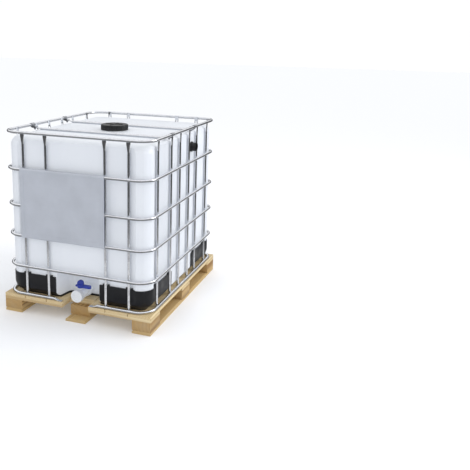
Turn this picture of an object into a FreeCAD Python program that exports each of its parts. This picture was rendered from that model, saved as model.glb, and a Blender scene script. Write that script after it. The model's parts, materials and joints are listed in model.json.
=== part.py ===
import FreeCAD, Part
import math
import os

# Intermediate bulk container: blow-moulded tank in a welded tube cage on a wooden pallet.
# Millimetres. +Z is up, +X runs to the right along the valve side, the valve side faces -Y.
# The origin is the centre of the pallet's footprint, at floor level.

V = FreeCAD.Vector

# ---- driving dimensions -----------------------------------------------------------------

LENGTH_X = 1000.0            # pallet along the valve side
DEPTH_Y = 1200.0             # pallet from the valve side to the back
RUNNER_T = 20.0
BLOCK_T = 62.0
CROSS_T = 18.0
DECK_T = 18.0
BOARD_GAP = 5.0

TUBE_R = 9.0                 # cage tube, 18 mm outside
TUBE_WALL = 1.0
RING_HX = 488.0              # tube centre line, half width
RING_HY = 588.0
RING_CORNER_R = 100.0
RING_HEIGHTS = {"top": 1148.0, "upper": 922.0, "middle": 698.0, "lower": 506.0, "skirt": 310.0}
FRONT_UPRIGHTS = (-352.0, -196.0, 196.0, 348.0)
SIDE_UPRIGHTS = (-440.0, -228.0, -80.0, 85.0, 232.0, 437.0)
WELD_GAP = 0.05              # between crossing tubes, filled by the weld nugget

TANK_HX = 472.0             # over the corner columns
TANK_HY = 572.0
TANK_CORNER_R = 80.0
TANK_TOP = 1120.0
TANK_SHOULDER_R = 55.0
TANK_SOLE_R = 75.0
TANK_WALL = 3.0
PANEL_DEPTH = 13.0          # flat panels lie this far behind the corner columns
PANEL_MARGIN = 100.0        # from the panel's edge to the tank's side
PANEL_RAMP = 20.0

CROSS_BAR_Y = (-262.0, 140.0)
CROSS_BAR_Z = 1126.0
GROOVE_HALF = 18.0
GROOVE_FLOOR = 1112.0

FILL_Y = -50.0
FILL_NECK_R = 76.0
FILL_BORE_R = 67.0
FILL_CAP_R = 89.0
NECK_TOP = 1146.0

VALVE_Z = 160.0
VALVE_BORE_R = 25.0
STEM_Y = -526.0
STEM_R = 6.0
NECK_END_Y = -452.0
POCKET_BACK_Y = -430.0
POCKET_TOP = 300.0
DUST_CAP_R = 39.0

PORT_Y = 162.0
PORT_Z = 1010.0
PORT_BORE_R = 25.1

# ---- dimensions worked out from them ----------------------------------------------------

HX = LENGTH_X / 2
HY = DEPTH_Y / 2
CROSS_Z = RUNNER_T + BLOCK_T
DECK_Z = CROSS_Z + CROSS_T
DECK_TOP = DECK_Z + DECK_T
BOTTOM_RING_Z = DECK_TOP + TUBE_R
UPRIGHT_IN = 2 * TUBE_R + WELD_GAP
UPRIGHT_X = RING_HX - UPRIGHT_IN
UPRIGHT_Y = RING_HY - UPRIGHT_IN
TANK_BOTTOM = DECK_TOP + 3.0
PANEL_X = TANK_HX - PANEL_DEPTH

nodes = {}


# ---- small builders ---------------------------------------------------------------------

def box(x, y, z):
    """Block between two limits on each axis."""
    return Part.makeBox(x[1] - x[0], y[1] - y[0], z[1] - z[0], V(x[0], y[0], z[0]))


def rod(radius, start, end):
    """Solid cylinder from one point to another."""
    line = V(*end) - V(*start)
    return Part.makeCylinder(radius, line.Length, V(*start), line)


def tube(outer, inner, start, end):
    return rod(outer, start, end).cut(rod(inner, start, end))


def sectors(axis_point, along_y=False):
    """Eight long prisms of 45 degrees each round an axis parallel to Z, or to Y."""
    cells = []
    for i in range(8):
        corners = [V(0, 0, -HY)]
        for turn in (i, i + 1):
            angle = math.pi * turn / 4
            corners.append(V(2 * HY * math.cos(angle), 2 * HY * math.sin(angle), -HY))
        cell = Part.Face(Part.makePolygon(corners + corners[:1])).extrude(V(0, 0, 4 * HY))
        if along_y:
            cell.rotate(V(0, 0, 0), V(1, 0, 0), 90)
        cell.translate(V(*axis_point))
        cells.append(cell)
    return cells


def fuse(shapes):
    body = shapes[0]
    if len(shapes) > 1:
        body = body.multiFuse(shapes[1:]).removeSplitter()
    return body


def rounded_outline(hx, hy, radius, z):
    """Closed wire: a rectangle with round corners, centred on the Z axis."""
    cx, cy = hx - radius, hy - radius
    turns = ((cx, cy, 0), (-cx, cy, 90), (-cx, -cy, 180), (cx, -cy, 270))
    arcs = []
    for ax, ay, start in turns:
        arcs.append(Part.makeCircle(radius, V(ax, ay, z), V(0, 0, 1), start, start + 90))
    edges = []
    for i, arc in enumerate(arcs):
        following = arcs[(i + 1) % 4]
        edges.append(arc)
        edges.append(Part.makeLine(arc.Vertexes[-1].Point, following.Vertexes[0].Point))
    return Part.Wire(edges)


def rounded_prism(hx, hy, radius, z):
    face = Part.Face(rounded_outline(hx, hy, radius, z[0]))
    return face.extrude(V(0, 0, z[1] - z[0]))


def edges_at(shape, height):
    """Edges that lie wholly in one horizontal plane."""
    found = []
    for edge in shape.Edges:
        limits = edge.BoundBox
        if abs(limits.ZMin - height) < 1e-4 and abs(limits.ZMax - height) < 1e-4:
            found.append(edge)
    return found


def oval_outline(centre, half_wide, half_thick, wide, normal):
    """Many-sided oval with its long half-axis along wide, in the plane square to normal."""
    centre, wide, normal = V(*centre), V(*wide), V(*normal)
    thick = normal.cross(wide)
    corners = []
    for i in range(OVAL_SIDES):
        angle = math.radians((i + 0.5) * 360.0 / OVAL_SIDES)
        corners.append(centre + wide * (half_wide * math.cos(angle))
                       + thick * (half_thick * math.sin(angle)))
    return Part.makePolygon(corners + corners[:1])


def flattened_end(centre, shift, along, wide, taper, tab, half_wide, half_thick):
    """End of a tube pressed flat: a taper from the round tube, then a flat tab.

    centre is the tube's centre where the taper starts, along the way it runs, and shift
    moves the tab's centre line sideways."""
    centre, along, shift = V(*centre), V(*along), V(*shift)
    tab_start = centre + along * taper + shift
    near = oval_outline(centre, TUBE_R - END_STEP, TUBE_R - END_STEP, wide, along)
    far = oval_outline(tab_start, half_wide, half_thick, wide, along)
    flat = oval_outline(tab_start, half_wide - END_STEP, half_thick - END_STEP, wide, along)
    cone = Part.makeLoft([near, far], True, True)
    return [cone, Part.Face(flat).extrude(along * tab)]


def mirror_x(shape):
    return shape.mirror(V(0, 0, 0), V(1, 0, 0))


def mirror_y(shape):
    return shape.mirror(V(0, 0, 0), V(0, 1, 0))


def keep(name, *solids):
    """File one node: a single solid, or a group of separate solids."""
    nodes[name] = solids[0] if len(solids) == 1 else Part.makeCompound(list(solids))


# ---- pallet -----------------------------------------------------------------------------

CORNER_BLOCK_X = 120.0
CENTRE_BLOCK_X = 135.0
BLOCK_Y = 145.0
CENTRE_FRONT_BLOCK_SET_BACK = 65.0
RUNNER_CHAMFER = 8.0
CUT_OUT_HALF = 90.0
CUT_OUT_DEPTH = 100.0
CROSS_BOARD_Y = 145.0


def block_columns():
    """Left, centre and right columns: name and limits on X."""
    return (("left", (-HX, -HX + CORNER_BLOCK_X)),
            ("centre", (-CENTRE_BLOCK_X / 2, CENTRE_BLOCK_X / 2)),
            ("right", (HX - CORNER_BLOCK_X, HX)))


def runner(x):
    """Bottom board with its two long top edges bevelled for the forks."""
    board = box(x, (-HY, HY), (0, RUNNER_T))
    bevelled = []
    for edge in edges_at(board, RUNNER_T):
        if edge.BoundBox.YLength > DEPTH_Y / 2:
            bevelled.append(edge)
    return board.makeChamfer(RUNNER_CHAMFER, bevelled)


def make_pallet():
    rows = (("front", -HY), ("middle", -BLOCK_Y / 2), ("rear", HY - BLOCK_Y))
    for column, x in block_columns():
        keep("runner_" + column, runner(x))
        for row, y0 in rows:
            y = (y0, y0 + BLOCK_Y)
            if (column, row) == ("centre", "front"):
                y = (y0 + CENTRE_FRONT_BLOCK_SET_BACK, y0 + BLOCK_Y)
            keep("block_%s_%s" % (row, column), box(x, y, (RUNNER_T, CROSS_Z)))

    cross_z = (CROSS_Z, DECK_Z)
    front_board = box((-HX, HX), (-HY, -HY + CROSS_BOARD_Y), cross_z)
    notch = box((-CUT_OUT_HALF, CUT_OUT_HALF), (-HY - 1, -HY + CUT_OUT_DEPTH), (0, DECK_TOP + 1))
    keep("cross_board_front", front_board.cut(notch))
    keep("cross_board_middle", box((-HX, HX), (-CROSS_BOARD_Y / 2, CROSS_BOARD_Y / 2), cross_z))
    keep("cross_board_rear", box((-HX, HX), (HY - CROSS_BOARD_Y, HY), cross_z))

    for name, x in deck_board_limits():
        front = -HY + CUT_OUT_DEPTH if name == "centre" else -HY
        keep("deck_board_" + name, box(x, (front, HY), (DECK_Z, DECK_TOP)))


def deck_board_limits():
    """Seven lengthwise boards; the centre one stops short behind the valve cut-out."""
    outer, second, third = (355.0, HX), (205.0, 350.0), (CUT_OUT_HALF, 200.0)
    right = (("right_outer", outer), ("right_second", second), ("right_third", third))
    boards = [("centre", (BOARD_GAP - CUT_OUT_HALF, CUT_OUT_HALF - BOARD_GAP))]
    for name, (near, far) in right:
        boards.append((name, (near, far)))
        boards.append((name.replace("right", "left"), (-far, -near)))
    return boards


def nail(x, y, top, direction, length):
    """Flat-headed nail, its head flush with the wood at height top."""
    head_r, head_t, shank_r = 4.0, 1.0, 1.6
    head = rod(head_r, (x, y, top), (x, y, top + direction * head_t))
    shank = rod(shank_r, (x, y, top + direction * head_t), (x, y, top + direction * length))
    return fuse([head, shank])


def make_nails():
    nails = []
    for name, (x0, x1) in deck_board_limits():
        inset = (x1 - x0) * 0.22
        for y in (-HY + 40.0, 0.0, HY - 40.0):
            if name == "centre" and y < -HY + CUT_OUT_DEPTH:
                y = -HY + CUT_OUT_DEPTH + 22.0
            for x in (x0 + inset, x1 - inset):
                nails.append(nail(x, y, DECK_TOP, -1, 34.0))
    for _, (x0, x1) in block_columns():
        middle = (x0 + x1) / 2
        for y in (-HY + 100.0, 0.0, HY - 72.5):
            for side in (-30.0, 30.0):
                nails.append(nail(middle + side, y, 0, 1, 50.0))
    keep("pallet_nails", *nails)


# ---- cage -------------------------------------------------------------------------------

SEAM_GAP = 1.0
SPLICE_HALF = 40.0
BOTTOM_RING_GAP = 95.0
RING_TAPER = 26.0
RING_TAB = 24.0
RING_TAB_HALF_WIDE = 11.8
END_HALF_WIDE = 13.5
END_HALF_THICK = 2.4
END_STEP = 0.1
OVAL_SIDES = 28


def ring_path(z, front_gap):
    """Centre line of one ring, open at the back seam, or at the front for the valve."""
    cx, cy = RING_HX - RING_CORNER_R, RING_HY - RING_CORNER_R
    bend = RING_CORNER_R * math.sin(math.radians(45))
    sides = ((1, -1), (1, 1), (-1, 1), (-1, -1))
    gap_half = front_gap if front_gap else SEAM_GAP / 2
    flip = 1 if front_gap else -1
    ends = V(gap_half, -flip * RING_HY, z)
    edges = []
    last = ends
    for sx, sy in sides:
        sy = sy * flip
        along_x, along_y = V(sx * cx, sy * RING_HY, z), V(sx * RING_HX, sy * cy, z)
        middle = V(sx * (cx + bend), sy * (cy + bend), z)
        first, second = (along_x, along_y) if sx * sy * flip < 0 else (along_y, along_x)
        edges.append(Part.makeLine(last, first))
        edges.append(Part.Arc(first, middle, second).toShape())
        last = second
    edges.append(Part.makeLine(last, V(-ends.x, ends.y, z)))
    return Part.Wire(edges)


def bent_tube(path):
    """Hollow tube swept along a path of straight runs and tangent bends."""
    start = path.Edges[0].Vertexes[0].Point
    along = path.Edges[0].tangentAt(path.Edges[0].FirstParameter)
    shells = []
    for radius in (TUBE_R, TUBE_R - TUBE_WALL):
        profile = Part.Wire([Part.makeCircle(radius, start, along)])
        shells.append(path.makePipeShell([profile], True, False))
    return shells[0].cut(shells[1])


def make_rings():
    splices = []
    for name, z in RING_HEIGHTS.items():
        keep("ring_" + name, bent_tube(ring_path(z, None)))
        pin_r = TUBE_R - TUBE_WALL - 0.05
        splices.append(rod(pin_r, (-SPLICE_HALF, RING_HY, z), (SPLICE_HALF, RING_HY, z)))
    keep("ring_splice_pins", *splices)

    taper_start = BOTTOM_RING_GAP + RING_TAB + RING_TAPER
    frame = bent_tube(ring_path(BOTTOM_RING_Z, taper_start))
    drop = END_HALF_THICK - TUBE_R
    ends = []
    for side in (-1, 1):
        start = (side * taper_start, -RING_HY, BOTTOM_RING_Z)
        ends += flattened_end(start, (0, 0, drop), (-side, 0, 0), (0, 1, 0),
                              RING_TAPER, RING_TAB, RING_TAB_HALF_WIDE, END_HALF_THICK)
    body = fuse([frame] + ends)
    for x in ring_screw_places():
        body = body.cut(rod(3.0, (x, -RING_HY, DECK_TOP - 1), (x, -RING_HY, DECK_TOP + 20)))
    keep("ring_bottom", body)


def ring_screw_places():
    place = BOTTOM_RING_GAP + RING_TAB / 2
    return (-place, place)


def upright(place, turn):
    """Vertical tube with its top end pressed flat against the inside of the top ring.

    turn is the angle, anticlockwise from +X, that its flat end faces outwards."""
    taper, tab = 46.0, 30.0
    top = RING_HEIGHTS["top"] + 7.0
    taper_z = top - tab - taper
    straight = rod(TUBE_R, (0, 0, DECK_TOP + 0.2), (0, 0, taper_z))
    end = flattened_end((0, 0, taper_z), (TUBE_R - END_HALF_THICK, 0, 0), (0, 0, 1), (0, 1, 0),
                        taper, tab, END_HALF_WIDE, END_HALF_THICK)
    hollow = rod(TUBE_R - TUBE_WALL, (0, 0, DECK_TOP), (0, 0, taper_z - 2))
    tube_shape = fuse([straight] + end).cut(hollow)
    tube_shape.rotate(V(0, 0, 0), V(0, 0, 1), turn)
    tube_shape.translate(V(place[0], place[1], 0))
    return tube_shape


def make_uprights():
    for name, side in (("front", -1), ("rear", 1)):
        row = [upright((x, side * UPRIGHT_Y), side * 90) for x in FRONT_UPRIGHTS]
        keep("uprights_" + name, *row)
    for name, side in (("left", -1), ("right", 1)):
        turn = 0 if side > 0 else 180
        row = [upright((side * UPRIGHT_X, y), turn) for y in SIDE_UPRIGHTS]
        keep("uprights_" + name, *row)


# Cross bars lie in the tank's grooves and are bolted under a saddle on the top ring.
BAR_STRAIGHT = 420.0
BAR_TAPER = 22.0
BAR_TAB = 40.0
BAR_BOLT_X = 468.0
SADDLE_R = 12.0
SADDLE_HALF = 17.0
TONGUE_Z = (1132.5, 1136.5)
BOLT_R = 4.0
BOLT_HOLE_R = 4.3


def cross_bar(y):
    shift = TONGUE_Z[0] - END_HALF_THICK - CROSS_BAR_Z - 0.1
    parts = [rod(TUBE_R, (-BAR_STRAIGHT, y, CROSS_BAR_Z), (BAR_STRAIGHT, y, CROSS_BAR_Z))]
    for side in (-1, 1):
        start = (side * BAR_STRAIGHT, y, CROSS_BAR_Z)
        parts += flattened_end(start, (0, 0, shift), (side, 0, 0), (0, 1, 0),
                               BAR_TAPER, BAR_TAB, END_HALF_WIDE, END_HALF_THICK)
    bar = fuse(parts)
    inside = BAR_STRAIGHT - 2
    bar = bar.cut(rod(TUBE_R - TUBE_WALL, (-inside, y, CROSS_BAR_Z), (inside, y, CROSS_BAR_Z)))
    for x in (-BAR_BOLT_X, BAR_BOLT_X):
        bar = bar.cut(rod(BOLT_HOLE_R, (x, y, TONGUE_Z[0] - 20), (x, y, TONGUE_Z[1])))
    return bar


def saddle(side, y):
    """Hook over the top ring with a tongue that reaches inwards over the bar's flat end."""
    z = RING_HEIGHTS["top"]
    ends = (y - SADDLE_HALF, y + SADDLE_HALF)
    hook = rod(SADDLE_R, (side * RING_HX, ends[0], z), (side * RING_HX, ends[1], z))
    tongue_x = sorted((side * (BAR_BOLT_X - 12), side * RING_HX))
    tongue = box(tongue_x, ends, TONGUE_Z)
    web = box(sorted((side * (RING_HX - 10), side * RING_HX)), ends, (TONGUE_Z[0], z - 4))
    body = fuse([hook, tongue, web])
    body = body.cut(rod(TUBE_R + 0.1, (side * RING_HX, ends[0] - 1, z),
                        (side * RING_HX, ends[1] + 1, z)))
    slot = box(sorted((side * RING_HX, side * (RING_HX + 20))), (ends[0] - 1, ends[1] + 1),
               (z - 20, z - 5))
    hole = rod(BOLT_HOLE_R, (side * BAR_BOLT_X, y, TONGUE_Z[0] - 1),
               (side * BAR_BOLT_X, y, TONGUE_Z[1] + 1))
    return body.cut(slot).cut(hole)


def hexagon(across_flats, x, y, z):
    """Upright hexagonal prism."""
    radius = across_flats / math.sqrt(3)
    corners = []
    for i in range(7):
        angle = math.radians(60 * i)
        corners.append(V(x + radius * math.cos(angle), y + radius * math.sin(angle), z[0]))
    return Part.Face(Part.makePolygon(corners)).extrude(V(0, 0, z[1] - z[0]))


def saddle_bolt(side, y):
    """Hexagon-head bolt down through tongue and bar, its nut drawn up below."""
    x = side * BAR_BOLT_X
    bar_low = TONGUE_Z[0] - 0.1 - 2 * END_HALF_THICK
    head = hexagon(13.0, x, y, (TONGUE_Z[1], TONGUE_Z[1] + 5.3))
    shank = rod(BOLT_R, (x, y, bar_low - 10), (x, y, TONGUE_Z[1]))
    nut = hexagon(13.0, x, y, (bar_low - 6.5, bar_low))
    return fuse([head, shank, nut])


def make_cross_bars():
    saddles, bolts = [], []
    for name, y in zip(("front", "rear"), CROSS_BAR_Y):
        keep("cross_bar_" + name, cross_bar(y))
        for side in (-1, 1):
            saddles.append(saddle(side, y))
            bolts.append(saddle_bolt(side, y))
    keep("cross_bar_saddles", *saddles)
    keep("cross_bar_bolts", *bolts)


# Hold-downs: wood screws through the flattened ring ends, and sheet saddles at the back.
REAR_SADDLE_X = (-270.0, 270.0)
REAR_SADDLE_HALF = 15.0
SHEET = 2.0
SADDLE_FOOT = 26.0


def rear_saddle(x):
    """Pressed strap over the bottom ring with a foot on its inner side."""
    ends = (x - REAR_SADDLE_HALF, x + REAR_SADDLE_HALF)
    inner = TUBE_R + 0.1
    outer = inner + SHEET
    over = rod(outer, (ends[0], RING_HY, BOTTOM_RING_Z), (ends[1], RING_HY, BOTTOM_RING_Z))
    skirt = box(ends, (RING_HY - outer, RING_HY + outer), (DECK_TOP, BOTTOM_RING_Z))
    foot = box(ends, (RING_HY - outer - SADDLE_FOOT, RING_HY - inner), (DECK_TOP, DECK_TOP + SHEET))
    hollow = rod(inner, (ends[0] - 1, RING_HY, BOTTOM_RING_Z), (ends[1] + 1, RING_HY, BOTTOM_RING_Z))
    well = box((ends[0] - 1, ends[1] + 1), (RING_HY - inner, RING_HY + inner), (0, BOTTOM_RING_Z))
    body = fuse([over, skirt, foot]).cut(hollow).cut(well)
    place = rear_screw_place(x)
    return body.cut(rod(3.0, (place[0], place[1], 0), (place[0], place[1], 200)))


def rear_screw_place(x):
    return (x, RING_HY - TUBE_R - SHEET - SADDLE_FOOT / 2)


def wood_screw(x, y, seat):
    """Pan-head screw down into the deck, its head bearing at height seat."""
    head = rod(5.5, (x, y, seat), (x, y, seat + 3.0))
    shank = rod(2.5, (x, y, seat - 36.0), (x, y, seat))
    return fuse([head, shank])


def make_hold_downs():
    saddles, screws = [], []
    for x in ring_screw_places():
        screws.append(wood_screw(x, -RING_HY, DECK_TOP + 2 * END_HALF_THICK))
    for x in REAR_SADDLE_X:
        saddles.append(rear_saddle(x))
        place = rear_screw_place(x)
        screws.append(wood_screw(place[0], place[1], DECK_TOP + SHEET))
    keep("hold_down_saddles", *saddles)
    keep("hold_down_screws", *screws)


# ---- label plate ------------------------------------------------------------------------

PLATE_X = (-365.0, 203.0)
PLATE_T = 1.2
PLATE_BORDER = 14.0
PLATE_RAISE = 1.0


def make_plate():
    """Sheet plate hung on two rings, rolled over the upper and under the lower one."""
    inner = TUBE_R + 0.3
    outer = inner + PLATE_T
    top, low = RING_HEIGHTS["upper"], RING_HEIGHTS["lower"]
    face_y = (-RING_HY - outer, -RING_HY - inner)
    face = box(PLATE_X, face_y, (low, top))
    parts = [face]
    for z, side in ((top, 1), (low, -1)):
        roll = tube(outer, inner, (PLATE_X[0], -RING_HY, z), (PLATE_X[1], -RING_HY, z))
        quarter = box(PLATE_X, (-RING_HY - outer - 1, -RING_HY + 6.0),
                      sorted((z, z + side * (outer + 1))))
        parts.append(roll.common(quarter))
    rim_y = (face_y[0] - PLATE_RAISE, face_y[0])
    rim_x = (PLATE_X[0] + 12, PLATE_X[1] - 12)
    rim_z = (low + 8, top - 8)
    rim = box(rim_x, rim_y, rim_z)
    window = box((rim_x[0] + PLATE_BORDER, rim_x[1] - PLATE_BORDER), (rim_y[0] - 1, rim_y[1] + 1),
                 (rim_z[0] + PLATE_BORDER, rim_z[1] - PLATE_BORDER))
    parts.append(rim.cut(window))
    keep("label_plate", fuse(parts))


# ---- tank, tray and corner guards -------------------------------------------------------

def panel_cutter(half_wide, wall, depth):
    """Shallow trough with sloping ends, in the wall that faces -Y at y = -wall."""
    slope = PANEL_RAMP * (depth + 20) / depth
    points = [V(-half_wide - slope, -wall - 20, 0), V(half_wide + slope, -wall - 20, 0),
              V(half_wide, -wall + depth, 0), V(-half_wide, -wall + depth, 0),
              V(-half_wide - slope, -wall - 20, 0)]
    return Part.Face(Part.makePolygon(points)).extrude(V(0, 0, TANK_TOP + 100))


def tank_form(grow, bottom, sole_r, depth=PANEL_DEPTH):
    """Outer form of the tank, grown sideways and upwards by grow, with its four panels."""
    top = TANK_TOP + grow
    hx, hy = TANK_HX + grow, TANK_HY + grow
    body = rounded_prism(hx, hy, TANK_CORNER_R + grow, (bottom, top))
    body = body.makeFillet(TANK_SHOULDER_R + grow, edges_at(body, top))
    body = body.makeFillet(sole_r, edges_at(body, bottom))
    front = panel_cutter(TANK_HX - PANEL_MARGIN, hy, depth)
    side = panel_cutter(TANK_HY - PANEL_MARGIN, hx, depth)
    side.rotate(V(0, 0, 0), V(0, 0, 1), 90)
    return body.cut(front).cut(mirror_y(front)).cut(side).cut(mirror_x(side))


def pocket(grow):
    """Recess for the valve: wide at the front, rounded at its inner corners."""
    mouth, back, front = 146.0 + grow, 122.0 + grow, -HY - 20
    rear = POCKET_BACK_Y + grow
    top = POCKET_TOP + grow
    corners = [V(-mouth - 12, front, 90), V(mouth + 12, front, 90), V(back, rear, 90),
               V(-back, rear, 90), V(-mouth - 12, front, 90)]
    body = Part.Face(Part.makePolygon(corners)).extrude(V(0, 0, top - 90))
    inner = []
    for edge in body.Edges:
        limits = edge.BoundBox
        upright_edge = limits.ZLength > 50 and limits.YMin > rear - 1
        roof_edge = limits.ZMin > top - 1 and limits.YMin > rear - 1
        if upright_edge or roof_edge:
            inner.append(edge)
    return body.makeFillet(34.0 + grow, inner)


def grooves(grow):
    cuts = []
    for y in CROSS_BAR_Y:
        half = GROOVE_HALF + grow
        cuts.append(box((-HX, HX), (y - half, y + half), (GROOVE_FLOOR - grow, TANK_TOP + 20)))
    return cuts


OUTLET_COLLAR_R = 32.0

# The tank is one moulding. Its solid is parted at these planes into touching walls, so that
# each wall is a simple shape and the inside stays open.
CUT_X, CUT_Y = 436.0, 536.0
CUT_FLOOR, CUT_TOP, CUT_NECK = 168.0, 1092.0, 1121.0
RECESS_X, RECESS_INNER_X = 153.0, 116.0
RECESS_Y, RECESS_COLLAR_Y = -424.0, -444.0
RECESS_TOP, RECESS_ROOF = 306.0, 292.0
SOLE_X, SOLE_Y = 390.0, 490.0
NECK_SQUARE = 85.0           # half width of the part of the roof round the fill neck
COLLAR_SQUARE = 40.0         # half width of the part of the recess's back round the outlet


def round_cells(square, cutters):
    """The part of one wall round an opening, in eight sectors."""
    return [square.common(cutter) for cutter in cutters]


def roof_cells():
    roof = (CUT_TOP, CUT_NECK)
    high = CUT_NECK + 50
    near, far = FILL_Y - NECK_SQUARE, FILL_Y + NECK_SQUARE
    middle_x = (-NECK_SQUARE, NECK_SQUARE)
    cutters = sectors((0, FILL_Y, 0))
    cells = [box((-HX, -NECK_SQUARE), (-HY, HY), roof),
             box((NECK_SQUARE, HX), (-HY, HY), roof),
             box(middle_x, (-HY, near), roof),
             box(middle_x, (far, HY), roof)]
    cells += round_cells(box(middle_x, (near, far), roof), cutters)
    cells += round_cells(box(middle_x, (near, far), (CUT_NECK, high)), cutters)
    return cells


def recess_back_cells():
    back = (RECESS_COLLAR_Y, RECESS_Y)
    wide = (-RECESS_INNER_X, RECESS_INNER_X)
    under, over = VALVE_Z - COLLAR_SQUARE, VALVE_Z + COLLAR_SQUARE
    middle_x = (-COLLAR_SQUARE, COLLAR_SQUARE)
    cutters = sectors((0, 0, VALVE_Z), along_y=True)
    cells = [box((wide[0], -COLLAR_SQUARE), back, (0, RECESS_ROOF)),
             box((COLLAR_SQUARE, wide[1]), back, (0, RECESS_ROOF)),
             box(middle_x, back, (over, RECESS_ROOF))]
    cells += round_cells(box(middle_x, back, (under, over)), cutters)
    cells += round_cells(box(middle_x, (-HY, RECESS_COLLAR_Y), (under, over)), cutters)
    return cells


def wall_cells():
    """Shapes that each hold one wall of the tank, or one sector of a wall with an opening."""
    low = 0.0
    sides = (CUT_FLOOR, CUT_TOP)
    recess = (-HY, RECESS_Y)
    cells = [box((-SOLE_X, SOLE_X), (RECESS_Y, SOLE_Y), (low, CUT_FLOOR)),
             box((-SOLE_X, SOLE_X), (SOLE_Y, HY), (low, CUT_FLOOR)),
             box((-CUT_X, CUT_X), (CUT_Y, HY), sides),
             box((-RECESS_X, RECESS_X), (-HY, -CUT_Y), (RECESS_TOP, CUT_TOP)),
             box((-RECESS_INNER_X, RECESS_INNER_X), recess, (RECESS_ROOF, RECESS_TOP))]
    cells += roof_cells() + recess_back_cells()
    for side in (-1, 1):
        sole = sorted((side * SOLE_X, side * HX))
        outer = sorted((side * CUT_X, side * HX))
        front = sorted((side * RECESS_X, side * CUT_X))
        floor = sorted((side * RECESS_X, side * HX))
        flank = sorted((side * RECESS_INNER_X, side * RECESS_X))
        cells.append(box(sole, (RECESS_Y, HY), (low, CUT_FLOOR)))
        cells.append(box(outer, (-HY, HY), sides))
        cells.append(box(front, (-HY, -CUT_Y), sides))
        cells.append(box(floor, recess, (low, CUT_FLOOR)))
        cells.append(box(flank, recess, (low, RECESS_TOP)))
    return cells


def make_tank():
    outer = tank_form(0, TANK_BOTTOM, TANK_SOLE_R)
    for cutter in [pocket(0)] + grooves(0):
        outer = outer.cut(cutter)
    neck = rod(FILL_NECK_R, (0, FILL_Y, TANK_TOP - 8), (0, FILL_Y, NECK_TOP))
    collar = rod(OUTLET_COLLAR_R, (0, POCKET_BACK_Y + 1, VALVE_Z), (0, NECK_END_Y, VALVE_Z))
    outer = fuse([outer, neck, collar])
    inner = tank_form(-TANK_WALL, TANK_BOTTOM + TANK_WALL, TANK_SOLE_R - TANK_WALL)
    for cutter in [pocket(TANK_WALL)] + grooves(TANK_WALL):
        inner = inner.cut(cutter)
    body = outer.cut(inner)
    body = body.cut(rod(FILL_BORE_R, (0, FILL_Y, TANK_TOP - 20), (0, FILL_Y, NECK_TOP + 1)))
    body = body.cut(rod(VALVE_BORE_R, (0, POCKET_BACK_Y + 20, VALVE_Z), (0, NECK_END_Y - 20, VALVE_Z)))
    body = body.cut(rod(28.7, (PANEL_X - 12, PORT_Y, PORT_Z), (PANEL_X + 5, PORT_Y, PORT_Z)))
    keep("tank", *[body.common(cell) for cell in wall_cells()])


TRAY_TOP = DECK_TOP + 12.0
TRAY_IN = 42.0


def make_tray():
    """Shallow tray between deck and tank; its rim hugs the tank's rounded sole."""
    body = rounded_prism(TANK_HX - TRAY_IN, TANK_HY - TRAY_IN, TANK_CORNER_R - TRAY_IN,
                         (DECK_TOP, TRAY_TOP))
    body = body.cut(pocket(-4.0))
    seat = tank_form(0.2, TANK_BOTTOM - 0.1, TANK_SOLE_R).cut(pocket(-0.2))
    collar = rod(OUTLET_COLLAR_R + 0.3, (0, POCKET_BACK_Y + 1, VALVE_Z), (0, NECK_END_Y, VALVE_Z))
    keep("base_tray", body.cut(seat).cut(collar))


GUARD_T = 5.0                # over the corner columns
GUARD_PANEL_DEPTH = 8.0
GUARD_Z = (DECK_TOP + 13.0, 256.0)
GUARD_EAR = 10.0
GUARD_X = 152.0
GUARD_Y = 190.0


def guard(side_x, side_y):
    """Moulded corner guard: grooves seat the uprights, with ears at the top beside them."""
    outer = tank_form(GUARD_T, TANK_BOTTOM, TANK_SOLE_R, GUARD_PANEL_DEPTH)
    inner = tank_form(0.4, TANK_BOTTOM - 0.4, TANK_SOLE_R)
    zone = box(sorted((side_x * GUARD_X, side_x * HX)), sorted((side_y * GUARD_Y, side_y * HY)),
               (GUARD_Z[0], GUARD_Z[1] + GUARD_EAR))
    shell = outer.cut(inner).common(zone)
    fronts = [(x, side_y * UPRIGHT_Y) for x in FRONT_UPRIGHTS if side_x * x > GUARD_X]
    sides = [(side_x * UPRIGHT_X, y) for y in SIDE_UPRIGHTS if side_y * y > GUARD_Y]
    ear = (TUBE_R + 2.0, TUBE_R + 13.0)
    crown = box(sorted((0, side_x * HX)), sorted((0, side_y * HY)),
                (GUARD_Z[1], GUARD_Z[1] + GUARD_EAR + 1))
    for way in (-1, 1):
        span = sorted((way * ear[0], way * ear[1]))
        for x, y in fronts:
            crown = crown.cut(box((x + span[0], x + span[1]), (y - 40, y + 40), (0, HY)))
        for x, y in sides:
            crown = crown.cut(box((x - 40, x + 40), (y + span[0], y + span[1]), (0, HY)))
    shell = shell.cut(crown)
    for x, y in fronts + sides:
        shell = shell.cut(rod(TUBE_R + 0.5, (x, y, 0), (x, y, 400)))
    return shell


def make_guards():
    for depth, side_y in (("front", -1), ("rear", 1)):
        for hand, side_x in (("left", -1), ("right", 1)):
            keep("guard_%s_%s" % (depth, hand), guard(side_x, side_y))


# ---- fill opening -----------------------------------------------------------------------

GASKET_LOW = NECK_TOP + 0.3
GASKET_HIGH = GASKET_LOW + 3.2
CAP_PLATE_LOW = GASKET_HIGH + 0.3
CAP_TOP = CAP_PLATE_LOW + 7.0
CAP_LOW = TANK_TOP + 2.0
CAP_RIBS = 36


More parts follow.
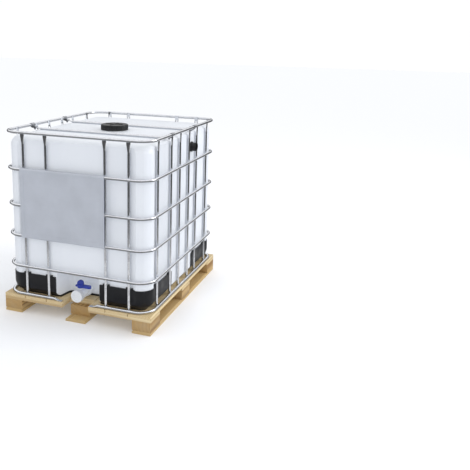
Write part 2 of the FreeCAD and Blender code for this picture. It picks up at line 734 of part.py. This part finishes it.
def make_fill_cap():
    gasket = tube(FILL_NECK_R - 1, FILL_BORE_R, (0, FILL_Y, GASKET_LOW), (0, FILL_Y, GASKET_HIGH))
    keep("fill_gasket", *[gasket.common(cell) for cell in sectors((0, FILL_Y, 0))])
    skirt = tube(FILL_CAP_R - 2, FILL_NECK_R + 2, (0, FILL_Y, CAP_LOW), (0, FILL_Y, CAP_PLATE_LOW))
    plate = rod(FILL_CAP_R - 2, (0, FILL_Y, CAP_PLATE_LOW), (0, FILL_Y, CAP_TOP))
    plate = plate.makeFillet(2.5, edges_at(plate, CAP_TOP))
    parts = [skirt, plate]
    for i in range(CAP_RIBS):
        angle = 2 * math.pi * i / CAP_RIBS
        x, y = (FILL_CAP_R - 2) * math.cos(angle), (FILL_CAP_R - 2) * math.sin(angle)
        parts.append(rod(2.0, (x, FILL_Y + y, CAP_LOW), (x, FILL_Y + y, CAP_TOP - 4)))
    for angle in (0, 90):
        bar = box((-58, 58), (-5, 5), (CAP_TOP - 0.5, CAP_TOP + 3.0))
        bar.rotate(V(0, 0, 0), V(0, 0, 1), angle)
        bar.translate(V(0, FILL_Y, 0))
        parts.append(bar)
    keep("fill_cap", fuse(parts))


# ---- outlet valve -----------------------------------------------------------------------

COLLAR_Y = (NECK_END_Y - 2.2, NECK_END_Y - 9.0)
CHAMBER_Y = (-501.0, -548.0)
CHAMBER_R = 33.0
OUTLET_END_Y = -571.0
THREAD_R = 29.5
HOUSING_TOP = VALVE_Z + 40.0
SEAL_SEAT = HOUSING_TOP - 8.0


def along_y(outer, inner, y):
    return tube(outer, inner, (0, y[0], VALVE_Z), (0, y[1], VALVE_Z))


def make_valve_body():
    keep("outlet_gasket", along_y(31.5, VALVE_BORE_R + 0.5, (NECK_END_Y - 0.05, NECK_END_Y - 2.15)))
    nut = along_y(38.5, 32.2, (NECK_END_Y + 14, NECK_END_Y - 9.2))
    lip = along_y(38.5, 28.4, (NECK_END_Y - 9.2, NECK_END_Y - 14))
    ribs = []
    for i in range(12):
        angle = 2 * math.pi * (i + 0.5) / 12
        x, z = 38.2 * math.cos(angle), 38.2 * math.sin(angle)
        ribs.append(rod(1.8, (x, NECK_END_Y + 12, VALVE_Z + z), (x, NECK_END_Y - 12, VALVE_Z + z)))
    keep("outlet_union_nut", fuse([nut, lip] + ribs))

    shank_y = (COLLAR_Y[0], OUTLET_END_Y)
    parts = [rod(31.6, (0, COLLAR_Y[0], VALVE_Z), (0, COLLAR_Y[1], VALVE_Z)),
             rod(28.0, (0, shank_y[0], VALVE_Z), (0, shank_y[1], VALVE_Z)),
             rod(CHAMBER_R, (0, CHAMBER_Y[0], VALVE_Z), (0, CHAMBER_Y[1], VALVE_Z)),
             rod(14.0, (0, STEM_Y, VALVE_Z), (0, STEM_Y, HOUSING_TOP))]
    for start in (-552.5, -558.5, -564.5):
        parts.append(rod(THREAD_R, (0, start, VALVE_Z), (0, start - 2.5, VALVE_Z)))
    body = fuse(parts)
    body = body.cut(rod(VALVE_BORE_R, (0, shank_y[0] + 1, VALVE_Z), (0, shank_y[1] - 1, VALVE_Z)))
    body = body.cut(rod(STEM_R + 0.05, (0, STEM_Y, VALVE_Z - 30), (0, STEM_Y, HOUSING_TOP + 1)))
    body = body.cut(rod(9.8, (0, STEM_Y, SEAL_SEAT), (0, STEM_Y, HOUSING_TOP + 1)))
    keep("valve_body", *[body.common(cell) for cell in sectors((0, 0, VALVE_Z), along_y=True)])


def make_valve_inside():
    stem_low, stem_top = VALVE_Z - 29.6, HOUSING_TOP + 16.0
    stem = rod(STEM_R, (0, STEM_Y, stem_low), (0, STEM_Y, stem_top))
    stem = stem.cut(rod(2.5, (0, STEM_Y, stem_top - 14), (0, STEM_Y, stem_top + 1)))
    keep("valve_stem", stem)
    keep("stem_seal", tube(9.4, STEM_R, (0, STEM_Y, SEAL_SEAT + 0.4), (0, STEM_Y, SEAL_SEAT + 4.0)))
    disc = rod(24.4, (0, STEM_Y - 2.5, VALVE_Z), (0, STEM_Y + 2.5, VALVE_Z))
    hub = rod(8.6, (0, STEM_Y, VALVE_Z - 21.5), (0, STEM_Y, VALVE_Z + 21.5))
    disc = fuse([disc, hub])
    keep("valve_disc", disc.cut(rod(STEM_R, (0, STEM_Y, VALVE_Z - 30), (0, STEM_Y, VALVE_Z + 30))))


HANDLE_LOW = HOUSING_TOP + 1.5
LEVER_REACH = 72.0


def make_handle():
    """Blue quarter-turn handle: round hub, lever to the right, upright grip fin on top."""
    low, high = HANDLE_LOW, HANDLE_LOW + 17.0
    fin_top = high + 30.0
    hub = rod(20.0, (0, STEM_Y, low), (0, STEM_Y, high + 2))
    tip_x = LEVER_REACH - 13.0
    lever = box((0, tip_x), (STEM_Y - 12, STEM_Y + 12), (low + 1, high))
    tip = rod(13.0, (tip_x, STEM_Y, low + 1), (tip_x, STEM_Y, high))
    tail = box((-33, 0), (STEM_Y - 6, STEM_Y + 6), (low + 3, high - 4))
    fin_r = 20.0
    fin = box((-fin_r, fin_r), (STEM_Y - 8, STEM_Y + 8), (low + 5, fin_top - fin_r))
    crown = rod(fin_r, (0, STEM_Y - 8, fin_top - fin_r), (0, STEM_Y + 8, fin_top - fin_r))
    body = fuse([hub, lever, tip, tail, fin, crown])
    stem_top = HOUSING_TOP + 16.0
    body = body.cut(rod(STEM_R, (0, STEM_Y, low - 1), (0, STEM_Y, stem_top)))
    body = body.cut(rod(2.7, (0, STEM_Y, low), (0, STEM_Y, high + 6)))
    body = body.cut(rod(5.8, (0, STEM_Y, high + 5), (0, STEM_Y, fin_top + 1)))
    keep("valve_handle", body)
    head = rod(5.2, (0, STEM_Y, high + 5), (0, STEM_Y, high + 9))
    head = head.cut(box((-4, 4), (STEM_Y - 0.6, STEM_Y + 0.6), (high + 7.5, high + 10)))
    shank = rod(2.5, (0, STEM_Y, stem_top - 13), (0, STEM_Y, high + 5))
    keep("handle_screw", fuse([head, shank]))


DUST_OPEN_Y = -550.0
DUST_END_Y = -580.0


def make_dust_cap():
    """White screw cap over the outlet thread, gripped by ribs round its edge."""
    inner_end = OUTLET_END_Y - 2.8
    keep("dust_cap_seal", along_y(28.0, 18.0, (OUTLET_END_Y - 0.3, OUTLET_END_Y - 2.5)))
    skirt = along_y(DUST_CAP_R - 1.5, THREAD_R + 1.0, (DUST_OPEN_Y, inner_end))
    plate = rod(DUST_CAP_R - 1.5, (0, inner_end, VALVE_Z), (0, DUST_END_Y, VALVE_Z))
    parts = [skirt, plate]
    for i in range(24):
        angle = 2 * math.pi * i / 24
        x, z = (DUST_CAP_R - 1.5) * math.cos(angle), (DUST_CAP_R - 1.5) * math.sin(angle)
        parts.append(rod(1.5, (x, DUST_OPEN_Y, VALVE_Z + z), (x, DUST_END_Y + 2, VALVE_Z + z)))
    cap = fuse(parts)
    dish = rod(26.0, (0, DUST_END_Y - 1, VALVE_Z), (0, DUST_END_Y + 2.5, VALVE_Z))
    bar = box((-26, 26), (DUST_END_Y, DUST_END_Y + 3), (VALVE_Z - 4, VALVE_Z + 4))
    keep("dust_cap", fuse([cap.cut(dish), bar]))


# ---- link port --------------------------------------------------------------------------

def make_link_port():
    """Black rubber bush through the tank's side wall, for a 50 mm pipe."""
    wall_in, wall_out = PANEL_X - TANK_WALL - 0.2, PANEL_X + 0.2
    port = (PORT_Y, PORT_Z)
    sleeve = rod(28.5, (wall_in - 12, *port), (HX - 2, *port))
    flange = rod(34.0, (wall_out, *port), (wall_out + 8, *port))
    lip = rod(33.0, (wall_in - 7, *port), (wall_in, *port))
    body = fuse([sleeve, flange, lip])
    keep("link_port_bush", body.cut(rod(PORT_BORE_R, (wall_in - 13, *port), (HX, *port))))


# ---- build ------------------------------------------------------------------------------

make_pallet()
make_nails()
make_rings()
make_uprights()
make_cross_bars()
make_hold_downs()
make_plate()
make_tank()
make_tray()
make_guards()
make_fill_cap()
make_valve_body()
make_valve_inside()
make_handle()
make_dust_cap()
make_link_port()

os.makedirs("parts", exist_ok=True)
for node_name, shape in nodes.items():
    shape.exportStep("parts/%s.step" % node_name)
print(len(nodes), "nodes")
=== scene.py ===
import json
import math
import random

import bpy
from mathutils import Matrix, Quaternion, Vector

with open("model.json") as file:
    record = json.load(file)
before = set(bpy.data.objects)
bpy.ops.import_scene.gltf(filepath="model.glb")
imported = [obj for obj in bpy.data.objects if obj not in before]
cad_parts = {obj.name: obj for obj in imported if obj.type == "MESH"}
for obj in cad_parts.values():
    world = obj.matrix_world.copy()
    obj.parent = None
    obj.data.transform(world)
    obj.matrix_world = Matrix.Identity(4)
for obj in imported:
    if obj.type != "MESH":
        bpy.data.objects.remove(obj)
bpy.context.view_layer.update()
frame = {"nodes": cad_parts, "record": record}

NODES = frame["nodes"]
MM = 0.001
X, Y = 0, 1

SLOT_OF = {part["node"]: part["material_slot"] for part in frame["record"]["subparts"]}


# ---- material helpers ----------------------------------------------------------------------

def srgb(red, green, blue):
    """Linear colour from 8-bit display values."""
    def linear(value):
        value /= 255.0
        return value / 12.92 if value <= 0.04045 else ((value + 0.055) / 1.055) ** 2.4
    return (linear(red), linear(green), linear(blue), 1.0)


class Surface:
    """A procedural material: a node tree that feeds one Principled shader."""

    def __init__(self, name, colour, roughness, metallic=0.0):
        self.material = bpy.data.materials.new(name)
        self.material.use_nodes = True
        self.tree = self.material.node_tree
        self.shader = self.tree.nodes["Principled BSDF"]
        self.set("Base Color", colour)
        self.set("Roughness", roughness)
        self.set("Metallic", metallic)

    def set(self, socket, value):
        self.shader.inputs[socket].default_value = value

    def feed(self, socket, output):
        self.tree.links.new(output, self.shader.inputs[socket])

    def add(self, kind, inputs, **settings):
        """New node of that kind; an input is a value or another node's output."""
        node = self.tree.nodes.new("ShaderNode" + kind)
        for key, value in settings.items():
            setattr(node, key, value)
        for key, value in inputs.items():
            if isinstance(value, bpy.types.NodeSocket):
                self.tree.links.new(value, node.inputs[key])
            else:
                node.inputs[key].default_value = value
        return node

    def place(self, stretch=(1, 1, 1), offset=(0, 0, 0)):
        """Position on the object in metres, moved by offset and then stretched."""
        where = self.add("TexCoord", {}).outputs["Object"]
        moved = self.add("VectorMath", {0: where, 1: offset}, operation="ADD").outputs[0]
        return self.add("VectorMath", {0: moved, 1: stretch}, operation="MULTIPLY").outputs[0]

    def noise(self, where, scale, detail=4.0, roughness=0.55):
        return self.add("TexNoise", {"Vector": where, "Scale": scale, "Detail": detail,
                                     "Roughness": roughness}).outputs["Fac"]

    def cells(self, where, scale, output="Distance"):
        return self.add("TexVoronoi", {"Vector": where, "Scale": scale}).outputs[output]

    def span(self, value, low, high, to_low=0.0, to_high=1.0):
        """value from low…high to to_low…to_high, held at the ends."""
        return self.add("MapRange", {"Value": value, "From Min": low, "From Max": high,
                                     "To Min": to_low, "To Max": to_high}).outputs["Result"]

    def mix(self, factor, first, second):
        """Colour between first and second; sockets 0, 6 and 7 are the colour mix's own."""
        return self.add("Mix", {0: factor, 6: first, 7: second}, data_type="RGBA").outputs[2]

    def math(self, operation, first, second=0.0):
        return self.add("Math", {0: first, 1: second}, operation=operation).outputs[0]

    def bump(self, height, distance, strength=1.0, under=None):
        inputs = {"Height": height, "Distance": distance, "Strength": strength}
        if under is not None:
            inputs["Normal"] = under
        return self.add("Bump", inputs).outputs["Normal"]


# ---- materials -----------------------------------------------------------------------------

GROWTH_RING = 8 * MM
WAVE_REPEAT = 2 * math.pi / 20      # a wave texture's period at scale 1, in metres
LONG_RINGS = 0.07                   # squeeze along the board that draws the rings out
LONG_FIBRES = 0.025
KNOT_SCALE = 4.2                    # knots for each metre
KNOT_BROWN = srgb(112, 70, 36)
WEATHERED = srgb(176, 166, 148)
MOST_WEATHER = 0.25


def wood(name, along, early, late, seed):
    """Sawn softwood with its fibres along one axis: ring lines on the long faces, arcs on the
    ends, knots, fine fibre and greyed patches."""
    draw = random.Random(seed)
    s = Surface(name, early, 0.62)
    pith = [draw.uniform(0.05, 0.11) * draw.choice((-1, 1)) for _ in range(3)]
    pith[along] = draw.uniform(-3, 3)
    squeeze = [1.0, 1.0, 1.0]
    squeeze[along] = LONG_RINGS
    where = s.place(squeeze, pith)
    rings = s.add("TexWave", {"Vector": where, "Scale": WAVE_REPEAT / GROWTH_RING,
                              "Distortion": 14.0, "Detail": 2.5, "Detail Scale": 0.12,
                              "Detail Roughness": 0.45},
                  wave_type="RINGS", rings_direction="XYZ"[along], wave_profile="SIN").outputs["Fac"]
    rings = s.span(rings, 0.25, 1.0)
    fibre_squeeze = [1.0, 1.0, 1.0]
    fibre_squeeze[along] = LONG_FIBRES
    fibre = s.noise(s.place(fibre_squeeze, pith), 900.0, 3.0, 0.6)
    cloud = s.noise(s.place(squeeze, pith), 14.0, 3.0, 0.5)
    knots = s.cells(s.place((1, 1, 1), pith), KNOT_SCALE)
    knot = s.span(knots, 0.035, 0.075, 1.0, 0.0)
    halo = s.span(knots, 0.05, 0.22, 0.5, 0.0)
    colour = s.mix(s.math("MULTIPLY", rings, 0.80), early, late)
    colour = s.mix(s.span(fibre, 0.35, 0.75, 0.0, 0.35), colour, late)
    colour = s.mix(halo, colour, late)
    colour = s.mix(s.math("MULTIPLY", knot, 0.85), colour, KNOT_BROWN)
    grey = s.span(cloud, 0.45, 0.75, 0.0, MOST_WEATHER)
    colour = s.mix(grey, colour, WEATHERED)
    s.feed("Base Color", colour)
    s.feed("Roughness", s.span(fibre, 0.3, 0.8, 0.52, 0.78))
    relief = s.bump(fibre, 0.0004, 0.6)
    s.feed("Normal", s.bump(rings, 0.0006, 0.35, relief))
    return s.material


def galvanised(name, colour, roughness, spangle=0.004):
    """Hot-dip zinc: flat crystals of slightly different shade, dull patches and soft ripples."""
    s = Surface(name, colour, roughness, 1.0)
    where = s.place()
    crystals = s.cells(where, 1.0 / spangle, "Color")
    shade = s.add("SeparateColor", {"Color": crystals}).outputs["Red"]
    dull = s.noise(where, 22.0, 5.0, 0.6)
    darker = tuple(0.72 * c for c in colour[:3]) + (1.0,)
    tone = s.mix(s.span(shade, 0.0, 1.0, 0.0, 0.35), colour, darker)
    tone = s.mix(s.span(dull, 0.52, 0.75, 0.0, 0.35), tone, tuple(0.6 * c for c in colour[:3]) + (1.0,))
    s.feed("Base Color", tone)
    rough = s.math("ADD", s.span(shade, 0.0, 1.0, roughness - 0.05, roughness + 0.06),
                   s.span(dull, 0.5, 0.75, 0.0, 0.14))
    s.feed("Roughness", rough)
    s.feed("Normal", s.bump(s.noise(where, 120.0, 2.0), 0.0003, 0.10))
    return s.material


def polyethylene(name, colour, roughness, soft, depth, streak, painted_glow):
    """Natural polyethylene: milky with subsurface scatter and a wavy moulded skin; a uniform emission
    paints a glow over it, standing in for light shining through the tank.
    """
    s = Surface(name, colour, roughness)
    s.set("Subsurface Weight", soft)
    s.set("Subsurface Radius", (1.0, 1.0, 1.0))
    s.set("Subsurface Scale", depth)
    s.set("IOR", 1.5)
    # Painted light: a uniform emission glow brightens every face, standing in for light let through the
    # milky wall.
    s.set("Emission Color", (0.94, 0.97, 1.0, 1.0))
    s.set("Emission Strength", painted_glow)
    flow = s.noise(s.place((1.0, 1.0, 0.12)), 9.0, 4.0, 0.5)
    cloud = s.noise(s.place(), 5.0, 3.0, 0.5)
    deep = (colour[0] * 0.86, colour[1] * 0.88, colour[2] * 0.91, 1.0)
    tone = s.mix(s.span(flow, 0.35, 0.7, 0.0, streak), colour, deep)
    tone = s.mix(s.span(cloud, 0.45, 0.75, 0.0, streak), tone, deep)
    s.feed("Base Color", tone)
    s.feed("Roughness", s.span(cloud, 0.3, 0.7, roughness - 0.04, roughness + 0.08))
    skin = s.bump(s.noise(s.place(), 260.0, 3.0), 0.0003, 0.25)
    s.feed("Normal", s.bump(flow, 0.004, 0.25, skin))
    return s.material


def moulded(name, colour, roughness, scuff, grain=1400.0):
    """Coloured moulded plastic with a fine pebbled grain and pale scuffs."""
    s = Surface(name, colour, roughness)
    where = s.place()
    pebble = s.noise(where, grain, 2.0, 0.5)
    patch = s.noise(where, 18.0, 6.0, 0.65)
    s.feed("Base Color", s.mix(s.span(patch, 0.52, 0.75, 0.0, 0.35), colour, scuff))
    s.feed("Roughness", s.span(patch, 0.35, 0.75, roughness, roughness + 0.22))
    s.feed("Normal", s.bump(pebble, 0.0003, 0.35))
    return s.material


def coated_sheet(name, colour, roughness):
    """Thin coated steel sheet, slightly uneven, with faint rolling lines."""
    s = Surface(name, colour, roughness, 0.15)
    lines = s.noise(s.place((1.0, 1.0, 60.0)), 14.0, 3.0, 0.5)
    wave = s.noise(s.place(), 7.0, 3.0, 0.5)
    deep = tuple(0.80 * c for c in colour[:3]) + (1.0,)
    tone = s.mix(s.span(wave, 0.35, 0.7, 0.0, 0.5), colour, deep)
    s.feed("Base Color", s.mix(s.span(lines, 0.4, 0.7, 0.0, 0.15), tone, deep))
    s.feed("Roughness", s.span(wave, 0.3, 0.7, roughness - 0.06, roughness + 0.08))
    s.feed("Normal", s.bump(wave, 0.003, 0.5))
    return s.material


PINE_EARLY, PINE_LATE = srgb(230, 212, 170), srgb(176, 142, 88)
RUNNER_EARLY, RUNNER_LATE = srgb(206, 180, 128), srgb(166, 130, 76)
BLOCK_EARLY, BLOCK_LATE = srgb(200, 168, 112), srgb(132, 94, 50)

METALS = {
    "galvanised_tube": galvanised("galvanised_tube", srgb(226, 228, 232), 0.12),
    "zinc_fastener": galvanised("zinc_fastener", srgb(190, 192, 196), 0.32, 0.002),
    "dark_steel": galvanised("dark_steel", srgb(170, 172, 176), 0.34, 0.003),
}
PLASTICS = {
    # The last value is the tank's painted glow, an emission standing in for light shining through it.
    "natural_hdpe": polyethylene("natural_hdpe", srgb(214, 218, 225), 0.34, 0.2, 0.010, 0.22,
                                 0.12),
    "black_plastic": moulded("black_plastic", srgb(15, 17, 23), 0.34, srgb(42, 47, 57)),
    "cap_plastic": moulded("cap_plastic", srgb(13, 15, 18), 0.30, srgb(34, 38, 43)),
    "handle_plastic": moulded("handle_plastic", srgb(38, 58, 158), 0.34, srgb(78, 96, 180)),
    "white_plastic": moulded("white_plastic", srgb(222, 225, 229), 0.30, srgb(204, 208, 213)),
    "seal_rubber": moulded("seal_rubber", srgb(30, 30, 31), 0.60, srgb(52, 52, 54), 900.0),
    "bush_rubber": moulded("bush_rubber", srgb(20, 20, 22), 0.48, srgb(48, 48, 52), 900.0),
    "plate_steel": coated_sheet("plate_steel", srgb(192, 197, 207), 0.48),
}
FINISH = {**METALS, **PLASTICS}


# ---- CAD nodes with their finish -------------------------------------------------------------

SMOOTH_ANGLE = math.radians(35)
BEVEL_ANGLE = math.radians(40)


def dress(node, material, edge=0.0):
    """Gives a CAD node its material, welded smooth faces and softened edges."""
    obj = NODES[node]
    obj.data.materials.clear()
    obj.data.materials.append(material)
    for face in obj.data.polygons:
        face.use_smooth = True
    weld = obj.modifiers.new("weld", "WELD")
    weld.merge_threshold = 1e-6
    if edge:
        bevel = obj.modifiers.new("soft_edges", "BEVEL")
        bevel.width = edge
        bevel.segments = 2
        bevel.limit_method = "ANGLE"
        bevel.angle_limit = BEVEL_ANGLE
    split = obj.modifiers.new("crease", "EDGE_SPLIT")
    split.split_angle = SMOOTH_ANGLE


WOODS = {
    "block_wood": (BLOCK_EARLY, BLOCK_LATE, 1.2 * MM),
    "runner_pine": (RUNNER_EARLY, RUNNER_LATE, 1.0 * MM),
    "deck_pine": (PINE_EARLY, PINE_LATE, 1.0 * MM),
}


def dress_all():
    for number, node in enumerate(sorted(NODES)):
        slot = SLOT_OF[node]
        if slot in FINISH:
            dress(node, FINISH[slot])
            continue
        early, late, edge = WOODS[slot]
        along = X if node.startswith("cross_board") else Y
        dress(node, wood("wood_" + node, along, early, late, number), edge)


dress_all()


# ---- stage, light and camera -----------------------------------------------------------------

FLOOR_HALF = 40.0


def make_floor():
    mesh = bpy.data.meshes.new("floor")
    corners = [(-FLOOR_HALF, -FLOOR_HALF, 0), (FLOOR_HALF, -FLOOR_HALF, 0),
               (FLOOR_HALF, FLOOR_HALF, 0), (-FLOOR_HALF, FLOOR_HALF, 0)]
    mesh.from_pydata(corners, [], [(0, 1, 2, 3)])
    floor = bpy.data.objects.new("floor", mesh)
    bpy.context.scene.collection.objects.link(floor)
    paint = Surface("floor", srgb(236, 238, 242), 0.9)
    paint.set("Specular IOR Level", 0.0)
    paint.set("Emission Color", (1.0, 1.0, 1.0, 1.0))
    paint.set("Emission Strength", 0.12)
    floor.data.materials.append(paint.material)
    floor.visible_glossy = False


def make_light(name, place, target, size, power):
    data = bpy.data.lights.new(name, "AREA")
    data.shape = "SQUARE"
    data.size = size
    data.energy = power
    lamp = bpy.data.objects.new(name, data)
    bpy.context.scene.collection.objects.link(lamp)
    lamp.location = place
    lamp.rotation_mode = "QUATERNION"
    lamp.rotation_quaternion = (Vector(target) - Vector(place)).to_track_quat("-Z", "Y")


EVEN_LIGHT = 1.01
# Height from straight down (0) to straight up (1), and the room's brightness there.
SKY_STOPS = ((0.00, 0.12), (0.20, 0.15), (0.27, 0.85), (0.325, 0.90), (0.352, 0.12), (0.50, 0.06),
             (0.58, 0.14), (0.66, 1.10), (1.00, 1.10))


def make_sky():
    """Even white light for matt surfaces, and for gloss a room with dim walls and a bright ceiling."""
    world = bpy.data.worlds.new("studio")
    bpy.context.scene.world = world
    world.use_nodes = True
    tree = world.node_tree
    tree.nodes.clear()
    direction = tree.nodes.new("ShaderNodeTexCoord").outputs["Generated"]
    height = tree.nodes.new("ShaderNodeSeparateXYZ")
    tree.links.new(direction, height.inputs[0])
    level = tree.nodes.new("ShaderNodeMapRange")
    level.inputs["From Min"].default_value = -1.0
    tree.links.new(height.outputs["Z"], level.inputs["Value"])
    ramp = tree.nodes.new("ShaderNodeValToRGB")
    tree.links.new(level.outputs["Result"], ramp.inputs["Fac"])
    stops = ramp.color_ramp.elements
    while len(stops) < len(SKY_STOPS):
        stops.new(0.5)
    for stop, (place, value) in zip(stops, SKY_STOPS):
        stop.position = place
        stop.color = (value, value, value * 1.01, 1.0)
    room = tree.nodes.new("ShaderNodeBackground")
    tree.links.new(ramp.outputs["Color"], room.inputs["Color"])
    even = tree.nodes.new("ShaderNodeBackground")
    even.inputs["Color"].default_value = (1.0, 1.0, 1.0, 1.0)
    even.inputs["Strength"].default_value = EVEN_LIGHT
    choose = tree.nodes.new("ShaderNodeMixShader")
    ray = tree.nodes.new("ShaderNodeLightPath")
    tree.links.new(ray.outputs["Is Glossy Ray"], choose.inputs["Fac"])
    tree.links.new(even.outputs[0], choose.inputs[1])
    tree.links.new(room.outputs[0], choose.inputs[2])
    out = tree.nodes.new("ShaderNodeOutputWorld")
    tree.links.new(choose.outputs[0], out.inputs["Surface"])


CAMERA_PLACE = (1.846, -3.742, 1.708)
CAMERA_AZIMUTH = 19.61
CAMERA_ELEVATION = 11.70
CAMERA_ROLL = 1.11
CAMERA_LENS = 48.21
CAMERA_SHIFT = (0.0957, -0.1383)


def make_camera():
    data = bpy.data.cameras.new("camera")
    data.lens = CAMERA_LENS
    data.shift_x, data.shift_y = CAMERA_SHIFT
    data.clip_end = 200.0
    camera = bpy.data.objects.new("camera", data)
    bpy.context.scene.collection.objects.link(camera)
    around, up = math.radians(CAMERA_AZIMUTH), math.radians(CAMERA_ELEVATION)
    back = Vector((math.sin(around) * math.cos(up), -math.cos(around) * math.cos(up), math.sin(up)))
    camera.location = CAMERA_PLACE
    camera.rotation_mode = "QUATERNION"
    level = (-back).to_track_quat("-Z", "Y")
    camera.rotation_quaternion = level @ Quaternion((0, 0, 1), math.radians(CAMERA_ROLL))
    bpy.context.scene.camera = camera


make_floor()
make_light("key", (4.6, 1.6, 3.2), (0, 0, 0.5), 2.5, 95.0)
make_sky()
make_camera()
bpy.context.scene.view_settings.view_transform = "Standard"
